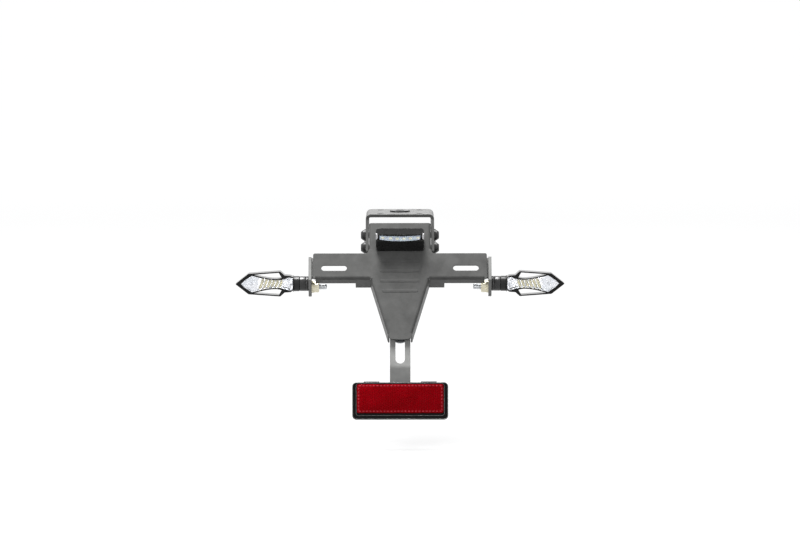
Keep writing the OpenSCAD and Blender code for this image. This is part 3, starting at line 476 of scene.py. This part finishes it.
def make_piece(name, place, shape, look, replaced=(), smooth=35, side=1):
    """A piece from points in millimetres in a frame; side -1 mirrors it to the left."""
    points, faces = shape
    mesh = bpy.data.meshes.new(name)
    mesh.from_pydata([(side * x * MM, y * MM, z * MM) for x, y, z in points], [], faces)
    work = bmesh.new()
    work.from_mesh(mesh)
    bmesh.ops.remove_doubles(work, verts=work.verts, dist=1e-7)
    bmesh.ops.dissolve_degenerate(work, edges=work.edges, dist=1e-7)
    bmesh.ops.recalc_face_normals(work, faces=work.faces)
    work.to_mesh(mesh)
    work.free()
    mesh.shade_smooth()
    mesh.set_sharp_from_angle(angle=math.radians(smooth))
    mesh.materials.append(looks[look])
    piece = bpy.data.objects.new(name, mesh)
    bpy.context.collection.objects.link(piece)
    piece.matrix_world = place
    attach(piece, "root")
    if replaced:
        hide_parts(*replaced)
    return piece


def joined(*shapes):
    points, faces = [], []
    for more_points, more_faces in shapes:
        start = len(points)
        points += list(more_points)
        faces += [tuple(i + start for i in face) for face in more_faces]
    return points, faces


def moved(shape, x=0, y=0, z=0, turn=None):
    points = [Vector(p) for p in shape[0]]
    if turn:
        points = [turn @ p for p in points]
    return [(p.x + x, p.y + y, p.z + z) for p in points], shape[1]


def loft(rings, capped=True, closed=False):
    """A skin through rings of as many points each; closed joins the last ring to the first."""
    count = len(rings[0])
    points = [p for ring in rings for p in ring]
    faces = []
    for i in range(len(rings) if closed else len(rings) - 1):
        j = (i + 1) % len(rings)
        faces += [
            (i * count + k, i * count + (k + 1) % count, j * count + (k + 1) % count, j * count + k)
            for k in range(count)
        ]
    if capped and not closed:
        faces.append(tuple(reversed(range(count))))
        faces.append(tuple(range(len(points) - count, len(points))))
    return points, faces


def round_box(x0, x1, y0, y1, r, z, steps=6):
    ring = []
    for mx, my, start in (
            (x1 - r, y0 + r, -90), (x1 - r, y1 - r, 0), (x0 + r, y1 - r, 90), (x0 + r, y0 + r, 180)):
        for i in range(steps + 1):
            a = math.radians(start + 90 * i / steps)
            ring.append((mx + r * math.cos(a), my + r * math.sin(a), z))
    return ring


def soft_box(x0, x1, y0, y1, z0, z1, r, edge):
    """A block with round corners along Z and a soft edge on both ends."""
    def ring(inset, z):
        return round_box(x0 + inset, x1 - inset, y0 + inset, y1 - inset, max(r - inset, 0.05), z, 3)
    return loft([ring(edge, z0), ring(edge * 0.3, z0 + edge * 0.3), ring(0, z0 + edge), ring(0, z1 - edge),
                 ring(edge * 0.3, z1 - edge * 0.3), ring(edge, z1)])


def turned(profile, steps=48):
    """A solid turned round X from points of distance along it and radius."""
    turns = [2 * math.pi * i / steps for i in range(steps)]
    return loft([[(x, r * math.cos(a), r * math.sin(a)) for a in turns] for x, r in profile])


def threaded_rod(length, d, pitch, steps=20, rows=6):
    """A rod along Z whose surface is a helical thread, with a lead at its far end."""
    depth = 0.6 * pitch
    lead = 0.9
    count = int(length / pitch * rows)
    rings = []
    for i in range(count + 1):
        z = length * i / count
        ring = []
        for k in range(steps):
            phase = (z / pitch - k / steps) % 1
            r = d / 2 - depth * (1 - abs(2 * phase - 1)) * 0.9
            r = min(r, d / 2 - lead + (length - z))
            a = 2 * math.pi * k / steps
            ring.append((r * math.cos(a), r * math.sin(a), z))
        rings.append(ring)
    return loft(rings)


def eased(a, b, c, d, steps):
    """Points of a smooth curve from a to d, drawn towards b and c on its way."""
    points = []
    for i in range(steps + 1):
        t = i / steps
        shares = ((1 - t) ** 3, 3 * (1 - t) ** 2 * t, 3 * (1 - t) * t * t, t ** 3)
        points.append(tuple(sum(s * p[k] for s, p in zip(shares, (a, b, c, d))) for k in (0, 1)))
    return points


# The arrow lens's outline, as in the part's source: places in from the arrow's ends, and half heights there
LENS_ROOT_IN = 0.6
LENS_ROOT_HALF = 6.1
LENS_SHOULDER = (4.6, 6.6)
LENS_WAIST = (12.2, 2)
LENS_PULL = (32.9, 3.7)
LENS_BARB = (17, 8.4)
LENS_CHEEK = (9.3, 3.4)
LENS_TIP_IN = 5.7


def lens_half(grow=0.0):
    """Upper half of the arrow lens's outline from its inner end to its tip, in X and Z."""
    return (
        [(ARROW_IN_X + LENS_ROOT_IN - grow, LENS_ROOT_HALF + grow)]
        + eased((ARROW_IN_X + LENS_SHOULDER[0], LENS_SHOULDER[1] + 1.1 * grow),
                (ARROW_IN_X + LENS_WAIST[0], LENS_WAIST[1] + 1.1 * grow),
                (ARROW_TIP_X - LENS_PULL[0], LENS_PULL[1] + 1.1 * grow),
                (ARROW_TIP_X - LENS_BARB[0], LENS_BARB[1] + 1.3 * grow), 20)
        + [(ARROW_TIP_X - LENS_CHEEK[0] + grow, LENS_CHEEK[1] + grow),
           (ARROW_TIP_X - LENS_TIP_IN + 1.8 * grow, 0)]
    )


def lens_ring(grow, depth):
    """The whole outline of the arrow lens at a distance towards the rear."""
    half = lens_half(grow)
    return [(x, -depth, z) for x, z in half] + [(x, -depth, -z) for x, z in reversed(half[:-1])]


def lens_height(x):
    half = lens_half()
    for (x0, z0), (x1, z1) in zip(half, half[1:]):
        if x0 <= x <= x1:
            return z0 + (z1 - z0) * (x - x0) / (x1 - x0)
    return 0.0


def lens_columns(step):
    """Places along the arrow lens, with those of its outline among them."""
    marks = [x for x, _ in lens_half()]
    columns = []
    for x0, x1 in zip(marks, marks[1:]):
        count = max(1, round((x1 - x0) / step))
        columns += [x0 + (x1 - x0) * i / count for i in range(count)]
    return columns + [marks[-1]]


def lens_sheet(columns, rows, inset, depth):
    """A grid of points over the arrow lens; depth gives each one's distance towards the rear."""
    return [
        [(x, -depth(x, v, v * max(lens_height(x) - inset, 0.0)), v * max(lens_height(x) - inset, 0.0))
         for v in rows]
        for x in columns
    ]


def slab(front, back):
    """A closed solid between two grids of the same size."""
    m, n = len(front), len(front[0])
    points = [p for column in front for p in column] + [p for column in back for p in column]
    far = m * n
    faces = []
    for i in range(m - 1):
        for j in range(n - 1):
            a, b, c, d = i * n + j, i * n + j + 1, (i + 1) * n + j + 1, (i + 1) * n + j
            faces.append((a, b, c, d))
            faces.append((far + d, far + c, far + b, far + a))
    edge = (
        [i * n for i in range(m)] + [(m - 1) * n + j for j in range(1, n)]
        + [i * n + n - 1 for i in range(m - 2, -1, -1)] + [j for j in range(n - 2, 0, -1)]
    )
    for a, b in zip(edge, edge[1:] + edge[:1]):
        faces.append((b, a, far + a, far + b))
    return points, faces


def saw(value):
    return abs(2 * (value % 1) - 1)


def lens_front(x, v, z):
    """Crown of the arrow lens: a chamfered edge and a low spine."""
    across = 0.35 + 0.6 * min(1.0, (1 - abs(v)) / 0.1) + 0.12 * (1 - abs(v))
    along = 0.35 + 0.75 * min(1.0, x - ARROW_IN_X - LENS_ROOT_IN)
    return ARROW_FRONT + min(across, along, 1.0)


def lens_prisms(x, v, z):
    """Back of the arrow lens, cut in slanting prisms."""
    cut = 0.3 * saw((x + 0.5 * z) / 2.4) + 0.2 * saw((z - 0.2 * x) / 2.1)
    return ARROW_FRONT - 1.3 - cut * (1 if abs(v) < 0.99 else 0)


# Places along the arrow: the star in its head, and the first and last of the lamp's flutes
STAR_X = 150.9
FLUTES_FROM = 118.5
FLUTES_TO = 143.5
FLUTE_PITCH = 3.9
BARS_FROM = 120.7
BARS = 6


def tray_facets(x, v, z):
    """Reflector under the arrow lens: a star in the head, slanting flutes, and cut facets at the root."""
    if x > FLUTES_TO:
        away = math.hypot(x - STAR_X, z)
        pit = 1.8 * max(0.0, 1 - away / 1.7)
        return ARROW_FRONT - 3.1 - pit - 0.3 * saw((x + 0.8 * z) / 2.9) * saw((x - z) / 3.7)
    if x > FLUTES_FROM:
        return ARROW_FRONT - 3.1 - 0.9 * saw((x + 0.35 * z) / FLUTE_PITCH)
    return ARROW_FRONT - 3.0 - 0.6 * saw((x + 0.5 * z) / FLUTE_PITCH) - 0.6 * saw((z - 0.4 * x) / 3.4)


def spread(low, high, count):
    return [low + (high - low) * i / (count - 1) for i in range(count)]


def add_indicator(side):
    hand = "right" if side > 0 else "left"
    crown_rows = [-1, -0.9, -0.55, -0.25, 0, 0.25, 0.55, 0.9, 1]
    columns = lens_columns(1.2)
    make_piece(
        hand + "_arrow_lens", HEAD_PLACE,
        slab(lens_sheet(columns, crown_rows, 0, lens_front), lens_sheet(columns, crown_rows, 0, lens_prisms)),
        "clear_lens", [hand + "_lens"], smooth=8, side=side)

    fine = lens_columns(0.65)
    rows = spread(-1, 1, 17)
    make_piece(
        hand + "_arrow_reflector", HEAD_PLACE,
        slab(lens_sheet(fine, rows, 0.15, tray_facets),
             lens_sheet(fine, rows, 0.15, lambda x, v, z: ARROW_FRONT - 6.2)),
        "bright_tray", [hand + "_tray"], smooth=12, side=side)

    bars = []
    for i in range(BARS):
        x = BARS_FROM + FLUTE_PITCH * i
        tall = max(lens_height(x) - 0.8, 1.4)
        lean = 0.35 * tall
        rings = []
        for z, wide in ((-tall, 0.55), (-tall + 0.3, 0.85), (tall - 0.3, 0.85), (tall, 0.55)):
            at = x - lean * z / tall
            low, high = -(ARROW_FRONT - 4.2), -(ARROW_FRONT - 2.45)
            rings.append([
                (at - wide, low, z), (at + wide, low, z), (at + wide, high + 0.25, z),
                (at + wide * 0.6, high, z), (at - wide * 0.6, high, z), (at - wide, high + 0.25, z)])
        bars.append(loft(rings))
    make_piece(hand + "_light_bars", HEAD_PLACE, joined(*bars), "led_chip", [hand + "_leds"], side=side)

    board = soft_box(119, FLUTES_TO, -2.4, 2.4, 0, 1.2, 0.6, 0.2)
    make_piece(
        hand + "_arrow_board", HEAD_PLACE, moved(board, y=-(ARROW_FRONT - 7.6), turn=turn_x(90)),
        "circuit_board", [hand + "_board"], side=side)

    rim = [lens_ring(grow, ARROW_FRONT + up) for grow, up in (
        (0.24, -0.3), (0.24, 0.34), (0.34, 0.46), (0.54, 0.46), (0.66, 0.32), (0.66, -0.3))]
    make_piece(
        hand + "_lens_rim", HEAD_PLACE, loft(rim, closed=True), "gloss_black_moulding", smooth=50, side=side)

    tips = []
    for (x0, z0, x1), up in (
            ((150.9, 10.1, 164.9), -0.3), ((150.9, 10.1, 164.9), 0.3), ((151.1, 9.95, 164.7), 0.42),
            ((151.4, 9.7, 164.35), 0.42), ((151.6, 9.55, 164.1), 0.3), ((151.6, 9.55, 164.1), -0.3)):
        tips.append([(x0, -ARROW_FRONT - up, z0), (x1, -ARROW_FRONT - up, 0), (x0, -ARROW_FRONT - up, -z0)])
    points = [p for ring in tips for p in ring]
    faces = []
    count = len(tips)
    for i in range(count):
        j = (i + 1) % count
        faces += [(3 * i + k, 3 * i + k + 1, 3 * j + k + 1, 3 * j + k) for k in range(2)]
    faces.append(tuple(3 * i for i in range(count)))
    faces.append(tuple(3 * i + 2 for i in reversed(range(count))))
    make_piece(hand + "_tip_rib", HEAD_PLACE, (points, faces), "gloss_black_moulding", side=side)


def add_stem(side):
    hand = "right" if side > 0 else "left"
    boot_end = TAB_OUT_X + BOOT_L
    r = STEM_D / 2
    make_piece(
        hand + "_rubber_boot", STEM_PLACE,
        turned([(TAB_OUT_X, r - 0.9), (TAB_OUT_X + 0.25, r - 0.45), (TAB_OUT_X + 0.7, r - 0.2),
                (TAB_OUT_X + 2.2, r - 0.2), (TAB_OUT_X + 2.5, r - 0.38), (TAB_OUT_X + 2.8, r - 0.2),
                (boot_end - 0.8, r - 0.2), (boot_end - 0.35, r - 0.3), (boot_end, r - 0.7)]),
        "black_rubber", [hand + "_boot"], side=side)
    ridge = boot_end + COLLAR_L
    make_piece(
        hand + "_stem_collar", STEM_PLACE,
        turned([(boot_end, r - 0.75), (boot_end + 0.12, r - 0.3), (boot_end + 0.4, r), (ridge - 0.5, r),
                (ridge - 0.35, r - 0.2), (ridge - 0.05, r - 0.2), (ridge, r + 0.35), (ridge + 0.2, r + 0.55),
                (ARROW_IN_X - 0.2, r + 0.55), (ARROW_IN_X, r + 0.35)]),
        "black_moulding", [hand + "_collar"], side=side)
    rod = moved(threaded_rod(STEM_STUD_L, *M6), x=boot_end + 3, turn=turn_y(-90))
    make_piece(hand + "_threaded_stud", STUD_PLACE, rod, "bright_zinc", [hand + "_stud"], side=side)


def add_studs():
    into = turn_x(180)
    strap_l = STRAP_DEPTH - HOLDER_T + STRAP_T + M5_PAST
    rods = [moved(threaded_rod(strap_l, *M5), x=x, y=STRAP_STUD[1], z=-HOLDER_T, turn=into)
            for x in (-STRAP_STUD[0], STRAP_STUD[0])]
    make_piece("strap_thread", FACE, joined(*rods), "bright_zinc", ["strap_studs"])
    bar_l = BAR_FRONT_DEPTH - HOLDER_T + BAR_T + M6_PAST
    rods = [moved(threaded_rod(bar_l, *M6), y=-at, z=-HOLDER_T, turn=into) for at in BAR_STUDS_AT]
    make_piece("bar_thread", FACE, joined(*rods), "bright_zinc", ["bar_studs"])
    reflector_l = REFLECTOR_STUD_SUNK + BAR_T + M5_PAST
    rods = [moved(threaded_rod(reflector_l, *M5), y=y, z=REFLECTOR_STUD_SUNK, turn=into)
            for y in (-REFLECTOR_STUD_GAP / 2, REFLECTOR_STUD_GAP / 2)]
    make_piece("reflector_thread", REFLECTOR, joined(*rods), "bright_zinc", ["reflector_studs"])


def add_reflector():
    """Housing with an outer rim, a groove and an inner rim; each ring is its insets, radius and height."""
    rings = []
    for side, top, low, r, z in (
            (0.7, 0.7, 0.7, 3.6, 0), (0.2, 0.2, 0.2, 4.0, 0.2), (0, 0, 0, 4.2, 0.7), (0, 0, 0, 4.2, 6.3),
            (0.12, 0.12, 0.12, 4.1, 6.75), (0.42, 0.4, 0.42, 3.9, 7.0), (0.8, 0.72, 0.8, 3.6, 6.95),
            (1.0, 0.88, 1.0, 3.5, 6.6), (1.05, 0.92, 1.05, 3.4, 4.4), (1.3, 0.96, 1.3, 3.3, 4.1),
            (3.4, 1.0, 3.4, 2.8, 4.1), (3.62, 1.04, 3.62, 2.7, 4.4), (3.66, 1.06, 3.66, 2.6, 6.2),
            (3.8, 1.1, 3.8, 2.5, 6.55), (4.15, 1.26, 4.15, 2.4, 6.6), (4.4, 1.42, 4.4, 2.3, 6.3),
            (4.45, 1.45, 4.45, 2.2, 3.0)):
        rings.append(round_box(
            -REFLECTOR_W / 2 + side, REFLECTOR_W / 2 - side,
            -REFLECTOR_H / 2 + low, REFLECTOR_H / 2 - top, r, z))
    lugs = [soft_box(x - 8, x + 8, REFLECTOR_H / 2 - 1.5, REFLECTOR_H / 2 + 1, 0, 4.5, 0.5, 0.3)
            for x in (-LUG_X, LUG_X)]
    make_piece(
        "reflector_frame", REFLECTOR, joined(loft(rings), *lugs), "groove_black", ["reflector_housing"])

    # The lips are a lighter grey than the housing: painted highlight on the rim edges
    lips = []
    for inset, r, step, z in ((0.06, 4.1, 0.7, 7.0), (3.72, 2.5, 0.42, 6.62)):
        top = inset if inset < 1 else 1.0
        lip = []
        for part, up in ((0.0, -0.25), (0.0, 0.0), (0.3, 0.12), (0.7, 0.12), (1.0, 0.0), (1.0, -0.25)):
            more = part * step
            thin = more if inset < 1 else more * 0.8
            lip.append(round_box(
                -REFLECTOR_W / 2 + inset + more, REFLECTOR_W / 2 - inset - more,
                -REFLECTOR_H / 2 + inset + more, REFLECTOR_H / 2 - top - thin, r - more, z + up))
        lips.append(loft(lip, closed=True))
    make_piece("reflector_lips", REFLECTOR, joined(*lips), "rim_moulding")

    rings = []
    for inset, z in ((0.0, 3.2), (0.0, 6.5), (0.12, 6.9), (0.4, 7.15), (0.8, 7.25)):
        rings.append(round_box(
            -LENS_HALF_W + inset, LENS_HALF_W - inset, LENS_LOW + inset, LENS_TOP - inset,
            2.0 - inset * 0.7, z))
    make_piece("reflector_prisms", REFLECTOR, loft(rings), "red_lens", ["reflector_lens"])


# The lamp's strip of light: half its length, and its lower and upper edge at the middle
STRIP_HALF = 20.4
STRIP_LOW = -3.35
STRIP_TOP = 1.5
LAMP_CHIPS_X = (-17.4, -9.4, -2.7, 3.9, 10.5, 18.2)
VISOR_TOP = 3.3


def bowed_ring(inset, z, low=STRIP_LOW, top=STRIP_TOP, half=STRIP_HALF, steps=24):
    """Outline of a strip whose ends rise, with its lower edge rising more than its upper one."""
    along = [(2 * i / steps - 1) for i in range(steps + 1)]
    under = [((half - inset) * u, low + inset + 1.7 * u * u, z) for u in along]
    over = [((half - inset) * u, top - inset + 1.0 * u * u, z) for u in reversed(along)]
    return under + over


def add_lamp():
    """The lamp's bowed strip of light under a visor, with a pale crescent at each end: a painted reflection
    where the window's rounded ends catch the light.
    """
    tray = loft([bowed_ring(-0.1, -0.3), bowed_ring(-0.1, 0.04), bowed_ring(0.2, 0.08)])
    make_piece("lamp_tray", LAMP_WINDOW, tray, "lamp_silver", ["lamp_board"])
    chips = []
    for x in LAMP_CHIPS_X:
        y = -1.0 + 1.35 * (x / STRIP_HALF) ** 2
        chips.append(soft_box(x - 1.6, x + 1.6, y - 1.1, y + 1.1, 0.0, 0.34, 0.4, 0.12))
    make_piece(
        "lamp_chips", LAMP_WINDOW, joined(*chips), "lamp_chip", ["lamp_leds"])
    window = loft([
        bowed_ring(0.0, 0.42), bowed_ring(-0.15, 0.5), bowed_ring(-0.12, 0.66), bowed_ring(0.25, 0.78)])
    make_piece("lamp_window", LAMP_WINDOW, window, "lamp_clear", ["lamp_lens"])

    half = LAMP_W / 2 - 1.9
    visor = loft([
        [(half * u, STRIP_TOP + 0.2 + 0.9 * (half * u / STRIP_HALF) ** 2, z) for u in spread(-1, 1, 25)]
        + [(half * u, VISOR_TOP, z) for u in spread(1, -1, 25)]
        for z in (-0.4, 0.0, 0.7)])
    make_piece("lamp_visor", LAMP_WINDOW, visor, "gloss_black_moulding")

    # Pale crescents at the window's ends: painted reflection
    ends = []
    for side in (-1, 1):
        rings = []
        for i in range(13):
            a = math.radians(-78 + 13 * i)
            y = 1.45 + 3.2 * math.sin(a)
            wide = 0.25 + 1.75 * math.cos(a)
            lift = 0.25 - 0.75 * max(0.0, y - 3.45)
            out = side * (LAMP_W / 2 + 0.12)
            back = side * (LAMP_W / 2 - wide)
            rings.append([(back, y, lift), (out - side * 0.25, y, lift + 0.25), (out, y, lift),
                          (out, y, lift - 1.4), (out - side * 0.5, y, lift - 1.4), (back, y, lift - 0.5)])
        ends.append(loft(rings))
    make_piece("lamp_end_glints", LAMP_WINDOW, joined(*ends), "end_glint_white")


add_camera()
add_lights()
add_world()
looks = make_looks()
dress_nodes(looks)
for side in (-1, 1):
    add_indicator(side)
    add_stem(side)
add_studs()
add_reflector()
add_lamp()
add_floor()

bpy.context.scene.view_settings.view_transform = "Standard"
